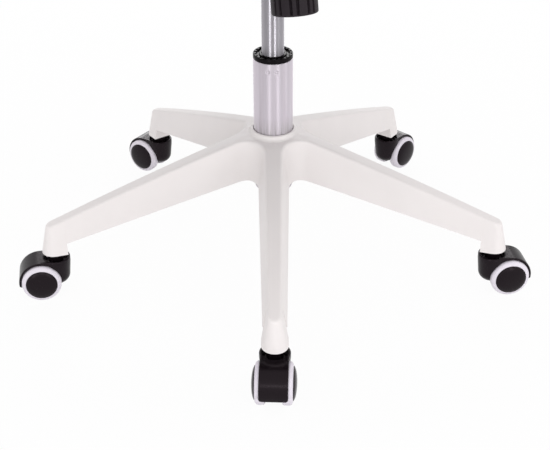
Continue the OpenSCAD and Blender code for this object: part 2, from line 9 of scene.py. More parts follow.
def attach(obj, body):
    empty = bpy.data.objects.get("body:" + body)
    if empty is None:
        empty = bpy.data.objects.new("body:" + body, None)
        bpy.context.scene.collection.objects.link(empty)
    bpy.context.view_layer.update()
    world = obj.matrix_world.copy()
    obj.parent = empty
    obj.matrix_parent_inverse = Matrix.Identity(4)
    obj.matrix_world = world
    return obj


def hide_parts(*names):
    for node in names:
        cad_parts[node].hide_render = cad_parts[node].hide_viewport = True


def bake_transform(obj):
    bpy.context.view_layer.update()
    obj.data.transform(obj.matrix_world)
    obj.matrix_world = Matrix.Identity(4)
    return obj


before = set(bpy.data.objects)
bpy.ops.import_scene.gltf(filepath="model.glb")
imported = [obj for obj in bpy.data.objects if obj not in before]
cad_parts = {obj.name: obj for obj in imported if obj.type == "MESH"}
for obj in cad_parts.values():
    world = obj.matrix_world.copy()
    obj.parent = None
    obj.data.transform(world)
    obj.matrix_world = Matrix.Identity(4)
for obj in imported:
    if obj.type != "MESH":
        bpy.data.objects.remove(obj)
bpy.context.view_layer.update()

# Driving sizes, in millimetres and degrees as in the part's source
MM = 0.001
LEGS = 5
LEG_PITCH = 360 / LEGS
BASE_TURN = -20.0                       # the front leg, from straight ahead
STEM_CIRCLE = 294.0                     # radius on which the caster stems stand
TRAIL = 20.4                            # from a stem to its axle
WHEEL_R = 25.0
CASTER_TURN = [-3, 26, -8, 19, -9]      # each caster, from its leg's line


def leg_turn(k, size=4):
    """Rotation that takes a leg drawn along +X to the place of leg k, counted from 0."""
    return Matrix.Rotation(math.radians(-90 + BASE_TURN + LEG_PITCH * k), size, "Z")


# Mesh helpers. Sizes in millimetres; every mesh is written in place, its object at the origin.

WELD, SLIVER = 2e-6, 1e-6               # metres
ON_AXIS = 1e-6


def make(name, verts, faces, material, body, nodes=(), angle=40):
    """Piece with a material that rides a body and stands for the CAD nodes named."""
    mesh = bpy.data.meshes.new(name)
    mesh.from_pydata([Vector(v) * MM for v in verts], [], faces)
    return finish_mesh(name, mesh, material, body, nodes, angle)


def finish_mesh(name, mesh, material, body, nodes=(), angle=40):
    """Welds a mesh in metres, shades it smooth up to an angle and makes its object."""
    bm = bmesh.new()
    bm.from_mesh(mesh)
    bmesh.ops.remove_doubles(bm, verts=bm.verts, dist=WELD)
    bmesh.ops.dissolve_degenerate(bm, edges=bm.edges, dist=SLIVER)
    bmesh.ops.recalc_face_normals(bm, faces=bm.faces)
    bm.to_mesh(mesh)
    bm.free()
    mesh.shade_smooth()
    mesh.set_sharp_from_angle(angle=math.radians(angle))
    obj = bpy.data.objects.new(name, mesh)
    bpy.context.collection.objects.link(obj)
    if material:
        mesh.materials.append(material)
    if body:
        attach(obj, body)
    if nodes:
        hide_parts(*nodes)
    return obj


def bevel(obj, width, segments, angle):
    """Rounds the edges sharper than an angle."""
    mod = obj.modifiers.new("edge", "BEVEL")
    mod.width = width * MM
    mod.segments = segments
    mod.limit_method = "ANGLE"
    mod.angle_limit = math.radians(angle)


def lathe(profile, segments=96, place=Matrix.Identity(4), wave=None):
    """Surface of revolution about Z from (r, z) points; wave(r, z, angle) gives a moved (r, z)."""
    verts, faces, rows = [], [], []
    for r, z in profile:
        if r < ON_AXIS:
            rows.append([len(verts)])
            verts.append(place @ Vector((0, 0, z)))
            continue
        row = []
        for i in range(segments):
            a = 2 * math.pi * i / segments
            q, h = wave(r, z, a) if wave else (r, z)
            row.append(len(verts))
            verts.append(place @ Vector((q * math.cos(a), q * math.sin(a), h)))
        rows.append(row)
    for lo, hi in zip(rows, rows[1:]):
        for i in range(segments):
            j = (i + 1) % segments
            if len(lo) == 1 and len(hi) == 1:
                break
            if len(lo) == 1:
                faces.append((lo[0], hi[j], hi[i]))
            elif len(hi) == 1:
                faces.append((lo[i], lo[j], hi[0]))
            else:
                faces.append((lo[i], lo[j], hi[j], hi[i]))
    return verts, faces


def arc(cx, cz, r, a0, a1, n):
    """Points of an arc between two angles in degrees, in n steps."""
    angles = [math.radians(a0 + (a1 - a0) * i / n) for i in range(n + 1)]
    return [(cx + r * math.cos(a), cz + r * math.sin(a)) for a in angles]


def oval(cx, cz, rx, rz, a0, a1, n):
    """Stretch of an ellipse, as (x, z) points."""
    return [(cx + rx * c, cz + rz * s) for c, s in arc(0, 0, 1, a0, a1, n)]


def nearest(a, others):
    """Angle between a and the nearest of the others, in radians."""
    return min(abs((a - b + math.pi) % (2 * math.pi) - math.pi) for b in others)


def squared(x, power):
    """Power of a number that keeps its sign: rounds a square where x is a sine or cosine."""
    return math.copysign(abs(x) ** power, x)


def prism(outline, half, place=Matrix.Identity(4)):
    """Closed prism of an (x, z) outline, from -half to half across Y."""
    n = len(outline)
    verts = [place @ Vector((x, y, z)) for y in (-half, half) for x, z in outline]
    faces = [tuple(range(n)), tuple(range(2 * n - 1, n - 1, -1))]
    faces += [(i, n + i, n + (i + 1) % n, (i + 1) % n) for i in range(n)]
    return verts, faces


def loft(layers):
    """Closed solid through outlines with equal numbers of points."""
    n = len(layers[0])
    verts = [p for layer in layers for p in layer]
    last = (len(layers) - 1) * n
    faces = [tuple(range(n)), tuple(range(last + n - 1, last - 1, -1))]
    faces += [(k + i, k + n + i, k + n + (i + 1) % n, k + (i + 1) % n)
              for k in range(0, last, n) for i in range(n)]
    return verts, faces


def skin(rings):
    """Open surface through closed rings with equal numbers of points."""
    n = len(rings[0])
    faces = [(i * n + k, i * n + (k + 1) % n, (i + 1) * n + (k + 1) % n, (i + 1) * n + k)
             for i in range(len(rings) - 1) for k in range(n)]
    return [p for ring in rings for p in ring], faces


def join(*parts):
    """One mesh of several."""
    verts, faces = [], []
    for v, f in parts:
        k = len(verts)
        verts += list(v)
        faces += [tuple(i + k for i in face) for face in f]
    return verts, faces


# Materials

BLOTCH, GRAIN_DEPTH = 9.0, 0.0002       # noise scale of the slow drift; bump distance in metres
STREAK_STRETCH, FOOT_SHADE_STRETCH = 0.003, 0.06     # noise squeezed along Z, so that its spots are long
FOOT_SHADE_CUT = (0.36, 0.62)                # noise between which the painted shade at the column's foot goes from none to full
WEAVE_SHARE = 0.28                      # of the weave against the yarn's noise


def nodes_of(name):
    """New material with its node tree and shader."""
    mat = bpy.data.materials.new(name)
    mat.use_nodes = True
    tree = mat.node_tree
    return mat, tree, tree.nodes["Principled BSDF"]


def add(tree, kind, **values):
    """New node with some sockets or settings given by name."""
    node = tree.nodes.new(kind)
    for key, value in values.items():
        if key in node.inputs:
            node.inputs[key].default_value = value
        else:
            setattr(node, key, value)
    return node


def ramped(tree, low, high, start=0.3, end=0.7):
    """Ramp from one colour to another."""
    ramp = add(tree, "ShaderNodeValToRGB")
    for stop, at, colour in zip(ramp.color_ramp.elements, (start, end), (low, high)):
        stop.position = at
        stop.color = (*colour, 1)
    return ramp


def ranged(tree, side, low, high):
    """Map Range node with its From or its To side set."""
    node = add(tree, "ShaderNodeMapRange")
    node.inputs[side + " Min"].default_value = low
    node.inputs[side + " Max"].default_value = high
    return node


def grained(name, low, high, rough, grain, bump, metallic=0.0, specular=0.5, tint=(1, 1, 1)):
    """Moulded or painted surface: slow colour drift, fine grain in bump and roughness."""
    mat, tree, bsdf = nodes_of(name)
    coord = add(tree, "ShaderNodeTexCoord")
    slow = add(tree, "ShaderNodeTexNoise", Scale=BLOTCH, Detail=4.0, Roughness=0.6)
    fine = add(tree, "ShaderNodeTexNoise", Scale=grain, Detail=2.0, Roughness=0.5)
    ramp = ramped(tree, low, high)
    spread = ranged(tree, "To", *rough)
    relief = add(tree, "ShaderNodeBump", Strength=bump, Distance=GRAIN_DEPTH)
    link = tree.links.new
    for noise in (slow, fine):
        link(coord.outputs["Object"], noise.inputs["Vector"])
    link(slow.outputs["Fac"], ramp.inputs["Fac"])
    link(ramp.outputs["Color"], bsdf.inputs["Base Color"])
    link(fine.outputs["Fac"], spread.inputs["Value"])
    link(spread.outputs["Result"], bsdf.inputs["Roughness"])
    link(fine.outputs["Fac"], relief.inputs["Height"])
    link(relief.outputs["Normal"], bsdf.inputs["Normal"])
    bsdf.inputs["Metallic"].default_value = metallic
    bsdf.inputs["Specular IOR Level"].default_value = specular
    bsdf.inputs["Specular Tint"].default_value = (*tint, 1)
    return mat


def painted_foot_shade(tree, coord, colour, foot, reach, shade):
    """Painted shade: darkens a colour in upright streaks that fade out over a reach above a foot, in metres.
    """
    link = tree.links.new
    split = add(tree, "ShaderNodeSeparateXYZ")
    fade = ranged(tree, "From", foot + reach, foot)
    thin = add(tree, "ShaderNodeMapping", Scale=(1, 1, FOOT_SHADE_STRETCH))
    noise = add(tree, "ShaderNodeTexNoise", Scale=620.0, Detail=3.0, Roughness=0.6)
    cut = ranged(tree, "From", *FOOT_SHADE_CUT)
    amount = add(tree, "ShaderNodeMath", operation="MULTIPLY")
    mix = add(tree, "ShaderNodeMix", data_type="RGBA", blend_type="MULTIPLY")
    mix.inputs["B"].default_value = (*shade, 1)
    link(coord.outputs["Object"], split.inputs[0])
    link(coord.outputs["Object"], thin.inputs["Vector"])
    link(split.outputs["Z"], fade.inputs["Value"])
    link(thin.outputs["Vector"], noise.inputs["Vector"])
    link(noise.outputs["Fac"], cut.inputs["Value"])
    link(cut.outputs["Result"], amount.inputs[0])
    link(fade.outputs["Result"], amount.inputs[1])
    link(amount.outputs[0], mix.inputs["Factor"])
    link(colour, mix.inputs["A"])
    return mix.outputs["Result"]


def turned(name, low, high, rough, spread, foot_shade=None):
    """Metal turned about Z: faint streaks along the axis, and highlights drawn out along it."""
    mat, tree, bsdf = nodes_of(name)
    link = tree.links.new
    coord = add(tree, "ShaderNodeTexCoord")
    long = add(tree, "ShaderNodeMapping", Scale=(1, 1, STREAK_STRETCH))
    streak = add(tree, "ShaderNodeTexNoise", Scale=130.0, Detail=5.0, Roughness=0.6)
    fine = add(tree, "ShaderNodeTexNoise", Scale=1500.0, Detail=2.0)
    ramp = ramped(tree, low, high)
    vary = ranged(tree, "To", *rough)
    relief = add(tree, "ShaderNodeBump", Strength=0.02, Distance=0.0001)
    around = add(tree, "ShaderNodeTangent", direction_type="RADIAL", axis="Z")
    link(coord.outputs["Object"], long.inputs["Vector"])
    link(coord.outputs["Object"], fine.inputs["Vector"])
    link(long.outputs["Vector"], streak.inputs["Vector"])
    link(streak.outputs["Fac"], ramp.inputs["Fac"])
    colour = ramp.outputs["Color"]
    # where given, painted shade darkens the foot in upright streaks
    link(painted_foot_shade(tree, coord, colour, *foot_shade) if foot_shade else colour, bsdf.inputs["Base Color"])
    link(fine.outputs["Fac"], vary.inputs["Value"])
    link(vary.outputs["Result"], bsdf.inputs["Roughness"])
    link(fine.outputs["Fac"], relief.inputs["Height"])
    link(relief.outputs["Normal"], bsdf.inputs["Normal"])
    link(around.outputs["Tangent"], bsdf.inputs["Tangent"])
    bsdf.inputs["Metallic"].default_value = 1.0
    bsdf.inputs["Anisotropic"].default_value = spread
    bsdf.inputs["Anisotropic Rotation"].default_value = 0.25
    return mat


WHITE = grained("white_nylon", (0.80, 0.765, 0.757), (0.835, 0.80, 0.792),
                rough=(0.38, 0.5), grain=900, bump=0.06)
# The column's foot is darkened in streaks above the hub: painted shade, standing for the reflected hub and
# legs.
SILVER = turned("satin_column", (0.64, 0.585, 0.64), (0.77, 0.715, 0.78), (0.44, 0.52), 0.9,
                foot_shade=(0.190, 0.024, (0.74, 0.76, 0.71)))
CHROME = turned("ground_cylinder", (0.38, 0.365, 0.395), (0.57, 0.55, 0.59), (0.42, 0.46), 1.0)
STEEL = grained("bright_steel", (0.50, 0.49, 0.51), (0.58, 0.57, 0.59),
                rough=(0.2, 0.32), grain=1600, bump=0.03, metallic=1.0)
BLACK = grained("black_plastic", (0.004, 0.0024, 0.0034), (0.0065, 0.0042, 0.0056),
                rough=(0.22, 0.3), grain=1100, bump=0.08, specular=0.18, tint=(1, 0.84, 0.94))
GLOSS = grained("glossy_black", (0.003, 0.0024, 0.0028), (0.0045, 0.0037, 0.0042),
                rough=(0.2, 0.28), grain=1300, bump=0.05, specular=0.09, tint=(1, 0.88, 0.96))
KNOB = grained("knob_plastic", (0.022, 0.017, 0.021), (0.031, 0.0245, 0.0295),
               rough=(0.42, 0.56), grain=1100, bump=0.1, specular=0.12)
COAT = grained("black_coat", (0.008, 0.008, 0.0085), (0.013, 0.013, 0.0135),
               rough=(0.4, 0.55), grain=1300, bump=0.15, specular=0.25)
TYRE = grained("pale_tyre", (0.74, 0.70, 0.77), (0.79, 0.75, 0.82),
               rough=(0.45, 0.6), grain=800, bump=0.06)


def woven(name, dark, light, pitch, relief):
    """Plain weave laid by the pad's own flat coordinates, in millimetres, with heathered yarn."""
    mat, tree, bsdf = nodes_of(name)
    link = tree.links.new
    flat = add(tree, "ShaderNodeAttribute", attribute_name="weave")
    split = add(tree, "ShaderNodeSeparateXYZ")
    link(flat.outputs["Vector"], split.inputs[0])
    waves = []
    for axis in ("X", "Y"):
        scale = add(tree, "ShaderNodeMath", operation="MULTIPLY")
        scale.inputs[1].default_value = math.pi / pitch
        wave = add(tree, "ShaderNodeMath", operation="SINE")
        link(split.outputs[axis], scale.inputs[0])
        link(scale.outputs[0], wave.inputs[0])
        waves.append(wave)
    check = add(tree, "ShaderNodeMath", operation="MULTIPLY")
    link(waves[0].outputs[0], check.inputs[0])
    link(waves[1].outputs[0], check.inputs[1])
    coord = add(tree, "ShaderNodeTexCoord")
    yarn = add(tree, "ShaderNodeTexNoise", Scale=420.0, Detail=3.0)
    link(coord.outputs["Object"], yarn.inputs["Vector"])
    total = add(tree, "ShaderNodeMath", operation="MULTIPLY_ADD")
    total.inputs[1].default_value = WEAVE_SHARE
    link(check.outputs[0], total.inputs[0])
    link(yarn.outputs["Fac"], total.inputs[2])
    ramp = ramped(tree, dark, light, 0.25, 0.8)
    link(total.outputs[0], ramp.inputs["Fac"])
    link(ramp.outputs["Color"], bsdf.inputs["Base Color"])
    bump = add(tree, "ShaderNodeBump", Strength=relief, Distance=0.0006)
    link(total.outputs[0], bump.inputs["Height"])
    link(bump.outputs["Normal"], bsdf.inputs["Normal"])
    bsdf.inputs["Roughness"].default_value = 0.9
    bsdf.inputs["Sheen Weight"].default_value = 0.25
    bsdf.inputs["Sheen Roughness"].default_value = 0.4
    bsdf.inputs["Specular IOR Level"].default_value = 0.2
    return mat


FABRIC = woven("charcoal_weave", (0.018, 0.019, 0.021), (0.075, 0.078, 0.085), 1.6, 0.6)
WELT = grained("charcoal_welt", (0.02, 0.021, 0.023), (0.05, 0.052, 0.057),
               rough=(0.8, 0.95), grain=900, bump=0.4, specular=0.2)


# Star base: one skin over five legs, laid out as stations along half of a leg's outline

ROOT_R, ROOT_TOP, TIP_TOP = 60.0, 179.1, 102.8
ROOT_LOW, TIP_LOW = 127.8, 73.8
ROOT_HALF_TOP, TIP_HALF_TOP = 10.8, 7.8
ROOT_HALF_LOW, TIP_HALF_LOW = 19.3, 13.9
LEG_BOW, DISH_R, DISH = 1.5, 52.0, 3.5
BOOT_LOW, BOOT_HALF, BOOT_END, BOOT_IN = 61.8, 15.7, 16.0, 14.5
HUB_TOP, HUB_LOW, LIP_R, SLEEVE_R = 190.4, 116.0, 29.6, 30.0
RING_R, LIP_ROLL = 28.6, 2.6
BOOT_X = STEM_CIRCLE - BOOT_IN
LEG_SLOPE = (ROOT_TOP - TIP_TOP) / (STEM_CIRCLE - ROOT_R)
TOP_WEB_R, LOW_WEB_R = 30.0, 19.0
HALF_PITCH = LEG_PITCH / 2
EDGE_R = 3.6
LIP_IN, ROOF_IN, ROOF_T = 3.4, 2.6, 5.0     # walls of a leg's hollow
RIB_HALF, RIB_LIFT, ROOF = 1.5, 9, 4
RIB_START, RIB_END, CROSS_RIBS = 46, STEM_CIRCLE - 12, (105, 165, 225)
BOOT_STEPS, NECK_STEPS, LEG_STEPS, WEB_STEPS = 8, 3, 20, 12
SPINE_SHARE = 0.34                      # of the web's steps, before the spine turns round the hub
OUTER = 13                              # columns on the outside of a leg


def leg_t(r):
    """Share of a leg's length at a radius."""
    return (r - ROOT_R) / (STEM_CIRCLE - ROOT_R)


def along_leg(root, tip, r):
    return root + (tip - root) * leg_t(r)


def leg_top(r):
    """Top of a leg: slightly bowed, and dished round the lip of the hub."""
    bow = LEG_BOW * (1 - (2 * leg_t(r) - 1) ** 2)
    dish = DISH * max(0.0, (DISH_R - r) / (DISH_R - SLEEVE_R)) ** 2
    return along_leg(ROOT_TOP, TIP_TOP, r) + bow - dish


def leg_low(r):
    return along_leg(ROOT_LOW, TIP_LOW, r)


def half_top(r):
    return along_leg(ROOT_HALF_TOP, TIP_HALF_TOP, r)


def half_low(r):
    return along_leg(ROOT_HALF_LOW, TIP_HALF_LOW, r)


def web(root, tip, rho):
    """Arc tangent to a leg's side and square to the plane between two legs."""
    m = (tip - root) / (STEM_CIRCLE - ROOT_R)
    c, s = math.cos(math.radians(HALF_PITCH)), math.sin(math.radians(HALF_PITCH))
    far = (rho * math.sqrt(1 + m * m) + root - ROOT_R * m) / (s - m * c)
    start = math.radians(270) + math.atan(m)
    end = math.radians(180 + HALF_PITCH)

    def at(f):
        a = start + (end - start) * f
        return Vector((far * c + rho * math.cos(a), far * s + rho * math.sin(a)))
    return at


def half_leg():
    """Rows along one half of a leg, tip first: kind, and points of the spine, upper and lower edge."""
    top_arc = web(ROOT_HALF_TOP, TIP_HALF_TOP, TOP_WEB_R)
    low_arc = web(ROOT_HALF_LOW, TIP_HALF_LOW, LOW_WEB_R)
    tx, bx = top_arc(0).x, low_arc(0).x
    rows = []
    for i in range(BOOT_STEPS + 1):                 # round end of the boot
        a = math.radians(90 * i / BOOT_STEPS)
        c, s = math.cos(a), math.sin(a)
        rows.append(("boot", Vector((STEM_CIRCLE, 0)),
                     Vector((STEM_CIRCLE + TIP_HALF_TOP * c, TIP_HALF_TOP * s)),
                     Vector((STEM_CIRCLE + BOOT_END * c, BOOT_HALF * s))))
    for i in range(1, NECK_STEPS + 1):              # straight side of the boot
        x = STEM_CIRCLE - BOOT_IN * i / NECK_STEPS
        rows.append(("boot", Vector((x, 0)), Vector((x, half_top(x))), Vector((x, BOOT_HALF))))
    for i in range(LEG_STEPS + 1):                  # straight leg
        f = i / LEG_STEPS
        x, b = BOOT_X + (tx - BOOT_X) * f, BOOT_X + (bx - BOOT_X) * f
        rows.append(("leg", Vector((x, 0)), Vector((x, half_top(x))), Vector((b, half_low(b)))))
    for i in range(1, WEB_STEPS + 1):               # web
        f = i / WEB_STEPS
        if f < SPINE_SHARE:
            spine = Vector((tx + (RING_R - tx) * f / SPINE_SHARE, 0))
        else:
            a = math.radians(HALF_PITCH) * (f - SPINE_SHARE) / (1 - SPINE_SHARE)
            spine = Vector((RING_R * math.cos(a), RING_R * math.sin(a)))
        rows.append(("leg", spine, top_arc(f), low_arc(f)))
    return rows


def columns(kind, spine, top, low):
    """Points across one row: spine, rounded edge, wall, then the leg's hollow or the boot's foot."""
    if kind == "boot":
        end = spine.x >= STEM_CIRCLE
        zs = leg_top(spine.x)
        zt = TIP_TOP - (top.x - STEM_CIRCLE) * LEG_SLOPE if end else leg_top(top.x)
        s, t, foot = Vector((*spine, zs)), Vector((*top, zt)), Vector((*low, BOOT_LOW))
        b = t.lerp(foot, (zt - leg_low(min(top.x, STEM_CIRCLE))) / (zt - BOOT_LOW))
    else:
        s, t = Vector((*spine, leg_top(spine.length))), Vector((*top, leg_top(top.length)))
        b, foot = Vector((*low, leg_low(low.length))), None
    d = s - t
    inner = t + d.normalized() * min(EDGE_R, 0.8 * d.length)
    down = t + (b - t).normalized() * EDGE_R
    out = [s + (inner - s) * j / 4 for j in range(4)]
    out += [inner * (1 - f) ** 2 + t * (2 * f * (1 - f)) + down * f * f for f in (0, 0.25, 0.5, 0.75, 1)]
    out += [down.lerp(b, f) for f in (0.25, 0.5, 0.75, 1.0)]
    if kind == "boot":
        middle = Vector((STEM_CIRCLE, 0, BOOT_LOW))
        return out + [b.lerp(foot, 0.5), foot, middle.lerp(foot, 0.55)]
    side = Vector((d.x, d.y, 0)).normalized()
    lip = b + side * LIP_IN
    roof = Vector((t.x, t.y, t.z - ROOF_T)) + side * ROOF_IN
    return out + [lip, lip.lerp(roof, 0.5), roof, Vector((s.x, s.y, s.z - ROOF_T))]


def star_base():
    """Ten half legs, the sleeve of the hub and the ribs."""
    rows = half_leg()
    verts, faces = [], []
    for k in range(LEGS):
        turn = leg_turn(k, 3)
        for side in (1, -1):
            grid = []
            for kind, *pts in rows:
                line = []
                for p in columns(kind, *pts):
                    line.append(len(verts))
                    verts.append(turn @ Vector((p.x, side * p.y, p.z)))
                grid.append(line)
            for (ka, *_), (kb, *_), a, b in zip(rows, rows[1:], grid, grid[1:]):
                width = min(len(a), len(b)) if ka == kb else OUTER
                for j in range(width - 1):
                    faces.append((a[j], b[j], b[j + 1], a[j + 1]))
            boot = [line for (kind, *_), line in zip(rows, grid) if kind == "boot"]
            hub = len(verts)
            verts.append(turn @ Vector((STEM_CIRCLE, 0, BOOT_LOW)))
            for a, b in zip(boot, boot[1:]):
                faces.append((a[-1], b[-1], hub))
            # flat wall on the boot's inner side, up into the leg's hollow
            first = grid[len(boot)]
            last = boot[-1]
            foot = len(verts)
            verts.append(turn @ Vector((BOOT_X, 0, BOOT_LOW)))
            faces.append((last[-1], foot, hub))
            faces.append((last[-1], last[-2], foot))
            faces.append((last[-2], last[-3], last[OUTER - 1], *first[OUTER:OUTER + 4], foot))
    return join((verts, faces), lathe(hub_profile(), 120), *ribs())


def hub_profile():
    """Sleeve round the column, with a rolled lip that flows out into the legs' tops."""
    foot = leg_top(SLEEVE_R)
    flare = [(LIP_R + 6, foot - 1.6), (LIP_R + 2.4, foot + 0.2), (LIP_R + 0.9, foot + 1.2),
             (LIP_R + 0.2, foot + 2.4)]
    roll = arc(LIP_R - LIP_ROLL, HUB_TOP - LIP_ROLL, LIP_ROLL, 0, 110, 8)
    bore = [(26.1, HUB_TOP - 0.9), (25.5, HUB_TOP - 2.2), (25.2, HUB_TOP - 5), (24.2, HUB_LOW)]
    low = [(SLEEVE_R - 1.4, HUB_LOW), (SLEEVE_R - 0.4, HUB_LOW + 0.8), (SLEEVE_R, HUB_LOW + 2.2)]
    return flare + roll + bore + low + [(SLEEVE_R, foot - 16), (LIP_R + 3, foot - 8), flare[0]]


def ribs():
    """One rib along each leg's hollow and three across it."""
    out = []
    for k in range(LEGS):
        turn = leg_turn(k)
        a, b = RIB_START, RIB_END
        out.append(prism([(a, leg_low(a) + RIB_LIFT), (b, leg_low(b) + RIB_LIFT), (b, leg_top(b) - ROOF),
                          (a, leg_top(a) - ROOF)], RIB_HALF, turn))
        for r in CROSS_RIBS:
            low, top = half_low(r) - 2.5, half_top(r) - 1
            across = turn @ Matrix.Translation((r, 0, 0)) @ Matrix.Rotation(math.radians(90), 4, "Z")
            out.append(prism([(-low, leg_low(r) + RIB_LIFT), (low, leg_low(r) + RIB_LIFT),
                              (top, leg_top(r) - ROOF), (-top, leg_top(r) - ROOF)], RIB_HALF, across))
    return out


base_obj = make("base_skin", *star_base(), WHITE, "base", ["star_base"], angle=48)
bevel(base_obj, 1.1, 3, 50)


# Gas lift

COLUMN_R, COLUMN_TOP, COLUMN_LOW, GUIDE_LONG = 25, 287.0, 107.0, 53
CYLINDER_R, CYLINDER_LOW, CYLINDER_TOP, TAPER_Z = 14, 202, 446, 396
VALVE_BORE_R = 6.2
DIMPLE_Z, DIMPLE_R, DIMPLE_DEEP, DIMPLE_ROWS = COLUMN_TOP - 10.4, 3.4, 0.9, 7
DIMPLES = [math.radians(-90 + BASE_TURN + 120 * k + d) for k in range(3) for d in (-15, 10)]


def dimpled(r, z, a):
    """Pairs of round crimps below the tube's upper edge."""
    if r < COLUMN_R or abs(z - DIMPLE_Z) > DIMPLE_R:
        return r, z
    off = ((nearest(a, DIMPLES) * r) ** 2 + (z - DIMPLE_Z) ** 2) / DIMPLE_R ** 2
    return r - DIMPLE_DEEP * max(0.0, 1 - off) ** 1.5, z


tube_side = [(VALVE_BORE_R, COLUMN_LOW), (23.9, COLUMN_LOW), (COLUMN_R, HUB_TOP),
             (COLUMN_R, COLUMN_TOP - GUIDE_LONG)]
crimp_rows = [(COLUMN_R, DIMPLE_Z + DIMPLE_R * (i / DIMPLE_ROWS - 1)) for i in range(2 * DIMPLE_ROWS + 1)]
tube_edge = [(COLUMN_R, -1.2), (24.8, -0.4), (24.2, 0), (23.6, 0), (23.3, -1)]
tube_foot = [(22.3, 3), (VALVE_BORE_R, 3), (VALVE_BORE_R, 0)]
column = lathe(tube_side + crimp_rows + [(r, COLUMN_TOP + z) for r, z in tube_edge]
               + [(r, COLUMN_LOW + z) for r, z in tube_foot], 360, wave=dimpled)
column_obj = make("column_skin", *column, SILVER, "base", ["column_tube"], angle=35)

NOTCHES, NOTCH_HALF, NOTCH_IN, NOTCH_OUT = 20, 4.0, 20.6, 23.5
BUSH_BORE_R, BUSH_STEP = 14.1, 3.8
BUSH_FLOOR = COLUMN_TOP + BUSH_STEP


def notched(r, z, a):
    """Notches round the inside of the bush's flange."""
    pitch = 360 / NOTCHES
    inside = abs(math.degrees(a) % pitch - pitch / 2) < NOTCH_HALF
    return r, BUSH_FLOOR if inside and NOTCH_IN < r < NOTCH_OUT and z > BUSH_FLOOR else z


bush_edge = [(BUSH_BORE_R, -GUIDE_LONG), (22.2, -GUIDE_LONG), (23.2, 0), (24.6, 0.1), (COLUMN_R, 0.6),
             (COLUMN_R, 5), (24.7, 5.7), (24.2, 6), (23.6, 6), (23.4, 6), (21.2, 6), (20.8, 5.6),
             (20.5, BUSH_STEP), (17.5, BUSH_STEP), (17.2, 5.2), (16.6, 5.7), (14.6, 5.7),
             (BUSH_BORE_R, 5.2), (BUSH_BORE_R, -GUIDE_LONG)]
bush = lathe([(r, COLUMN_TOP + z) for r, z in bush_edge], 480, wave=notched)
bush_obj = make("bush_skin", *bush, GLOSS, "base", ["column_bush"], angle=35)

cyl = lathe([(5.2, CYLINDER_LOW), (CYLINDER_R - 1, CYLINDER_LOW), (CYLINDER_R, CYLINDER_LOW + 1.2),
             (CYLINDER_R, TAPER_Z), (13.3, CYLINDER_TOP - 0.6), (12.6, CYLINDER_TOP),
             (4.3, CYLINDER_TOP)], 128)
cyl_obj = make("cylinder_skin", *cyl, CHROME, "lift", ["gas_cylinder"], angle=35)


# Tension knob

KNOB_AT = Matrix.Translation((0, -75.5, 370.8)) @ Matrix.Rotation(math.radians(-13), 4, "X")
KNOB_R, KNOB_H = 27.3, 45.0
GROOVE_HALF, GROOVE_DEEP, GROOVE_TURN = 1.5, 3.6, 16
GROOVE_Z, GROOVE_FADE = 2.0, 2.5        # where the grooves begin, and the height over which they deepen
GROOVES = [math.radians(45 * k + d + GROOVE_TURN) for k in range(8) for d in (0, 17)]


def fluted(r, z, a):
    """Round grooves in eight pairs down the knob's side."""
    if r < 22 or z < 1.5:
        return r, z
    cut = max(0.0, 1 - (nearest(a, GROOVES) * r / GROOVE_HALF) ** 2)
    fade = min(1.0, max(0.0, (z - GROOVE_Z) / GROOVE_FADE))
    return r - GROOVE_DEEP * math.sqrt(cut) * fade, z


knob = lathe([(0, 2.6), (14, 2.6), (15.5, 1.6), (17.5, 0.5), (20, 0)] + arc(KNOB_R - 2, 2, 2, -90, 0, 4)
             + [(KNOB_R, z) for z in (4.6, 8, 16, 26, 34)] + arc(KNOB_R - 3, KNOB_H - 5, 3, 0, 80, 4)
             + [(20, KNOB_H - 0.6), (8, KNOB_H), (5, KNOB_H)], 384, KNOB_AT, fluted)
knob_obj = make("knob_skin", *knob, KNOB, "knob", ["tension_knob"], angle=40)


# Tilt spring: one coil in two lengths, the lower and the upper

SPRING_R, WIRE_R, SPRING_TURNS, SPRING_LOW, SPRING_HIGH = 12.5, 1.6, 5, 73.5, 104.8
SPRING_SPLIT = 0.39                     # share of the turns in the lower length
END_TURNS, END_PITCH = 0.2, 0.6         # share of the turns at each end, and their pitch against the mean


def spring_at(f):
    """Height of the wire after a share of the turns; the end turns lie closer."""
    end_rise = END_PITCH * END_TURNS
    if f < END_TURNS:
        share = END_PITCH * f
    elif f > 1 - END_TURNS:
        share = 1 - END_PITCH * (1 - f)
    else:
        share = end_rise + (f - END_TURNS) * (1 - 2 * end_rise) / (1 - 2 * END_TURNS)
    return SPRING_LOW + (SPRING_HIGH - SPRING_LOW) * share


def coil(f0, f1, steps, sides=10):
    """Length of the coil between two shares of its turns."""
    rings = []
    for i in range(steps + 1):
        f = f0 + (f1 - f0) * i / steps
        a = 2 * math.pi * SPRING_TURNS * f
        out = Vector((math.cos(a), math.sin(a), 0))
        centre = out * SPRING_R + Vector((0, 0, spring_at(f)))
        rings.append([KNOB_AT @ (centre + WIRE_R * (out * math.cos(b) + Vector((0, 0, math.sin(b)))))
                      for b in (2 * math.pi * k / sides for k in range(sides))])
    return loft(rings)


middle = spring_at(SPRING_SPLIT)
for name, f0, f1, steps, bodies, low, high in (
        ("spring_lower", 0, SPRING_SPLIT, 48, ("follower", "lift"), SPRING_LOW, middle - WIRE_R),
        ("spring_upper", SPRING_SPLIT, 1, 72, ("lift", "seat"), middle + WIRE_R, SPRING_HIGH)):
    obj = make(name, *coil(f0, f1, steps), STEEL, None, ["tilt_spring"], angle=50)
    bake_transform(obj)


# Casters, made once with the stem on Z and the axle at +X, then set on each stem

